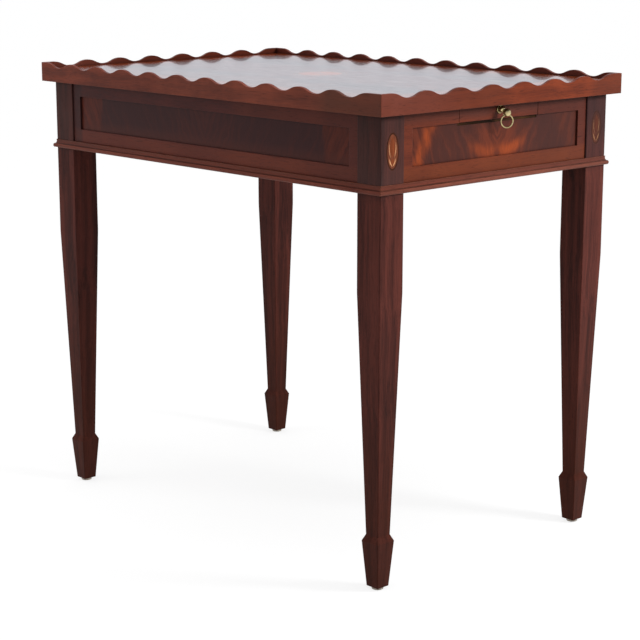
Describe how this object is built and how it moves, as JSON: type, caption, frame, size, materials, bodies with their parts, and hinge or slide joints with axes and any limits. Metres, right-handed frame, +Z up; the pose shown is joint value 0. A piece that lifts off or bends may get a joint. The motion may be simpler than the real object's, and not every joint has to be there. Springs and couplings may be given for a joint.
{
  "type": "tea table",
  "caption": "Tea table with an inlaid tray top inside a scalloped gallery, veneered friezes with pull-out end slides on ring pulls, and square tapered legs on spade feet.",
  "frame": {"origin": "on the floor under the middle of the table", "axes": "+X along the table's length towards the right-hand end, +Y from the front long side to the back one, +Z up"},
  "size_m": [0.7664, 0.5, 0.691],
  "materials": {
    "mahogany": "satin lacquer",
    "crotch_veneer": "gloss lacquer",
    "crossband_veneer": "gloss lacquer",
    "boxwood": "gloss lacquer",
    "brown_band": "gloss lacquer",
    "dark_inlay": "gloss lacquer",
    "satinwood": "gloss lacquer",
    "secondary_wood": "unfinished",
    "brass": "aged",
    "steel": "plain",
    "glide": "plain"
  },
  "bodies": {
    "table": {"top_core": "secondary_wood", "field_leaf_front_left": "crotch_veneer", "field_leaf_front_right": "crotch_veneer", "field_leaf_back_left": "crotch_veneer", "field_leaf_back_right": "crotch_veneer", "field_string_outer": "boxwood", "field_band": "brown_band", "field_string_inner": "boxwood", "crossband_front": "crossband_veneer", "crossband_right": "crossband_veneer", "crossband_back": "crossband_veneer", "crossband_left": "crossband_veneer", "gallery_front": "mahogany", "gallery_right": "mahogany", "gallery_back": "mahogany", "gallery_left": "mahogany", "patera_ring": "boxwood", "patera_ground": "dark_inlay", "patera_petals": "satinwood", "patera_eye": "dark_inlay", "leg_front_left": "mahogany", "leg_front_right": "mahogany", "leg_back_left": "mahogany", "leg_back_right": "mahogany", "foot_glides": "glide", "apron_front": "secondary_wood", "frieze_panel_front": "crotch_veneer", "frieze_border_front": "crossband_veneer", "base_moulding_front": "mahogany", "apron_right": "secondary_wood", "frieze_panel_right": "crotch_veneer", "frieze_border_right": "crossband_veneer", "base_moulding_right": "mahogany", "apron_back": "secondary_wood", "frieze_panel_back": "crotch_veneer", "frieze_border_back": "crossband_veneer", "base_moulding_back": "mahogany", "apron_left": "secondary_wood", "frieze_panel_left": "crotch_veneer", "frieze_border_left": "crossband_veneer", "base_moulding_left": "mahogany", "oval_rims": "dark_inlay", "oval_grounds": "satinwood", "oval_motifs": "boxwood", "corner_blocks": "secondary_wood", "corner_block_screws": "steel", "top_screws": "steel", "runner_screws": "steel", "slide_runner_front": "secondary_wood", "slide_runner_back": "secondary_wood"},
    "slide_right": {"slide_board_right": "mahogany", "slide_front_right": "crossband_veneer", "slide_stop_pins_right": "secondary_wood", "pull_post_right": "brass"},
    "slide_left": {"slide_board_left": "mahogany", "slide_front_left": "crossband_veneer", "slide_stop_pins_left": "secondary_wood", "pull_post_left": "brass"},
    "ring_right": {"pull_ring_right": "brass"},
    "ring_left": {"pull_ring_left": "brass"}
  },
  "joints": [
    {"name": "slide_out_right", "type": "slide", "parent": "table", "child": "slide_right", "axis": [1, 0, 0], "range_m": [0, 0.215]},
    {"name": "slide_out_left", "type": "slide", "parent": "table", "child": "slide_left", "axis": [-1, 0, 0], "range_m": [0, 0.215]},
    {"name": "ring_swing_right", "type": "hinge", "parent": "slide_right", "child": "ring_right", "pos_m": [0.3775, 0, 0.6472], "axis": [-0.4226, -0.9063, 0], "range_deg": [-30, 110]},
    {"name": "ring_swing_left", "type": "hinge", "parent": "slide_left", "child": "ring_left", "pos_m": [-0.3775, 0, 0.6472], "axis": [0.4226, 0.9063, 0], "range_deg": [-30, 110]}
  ]
}
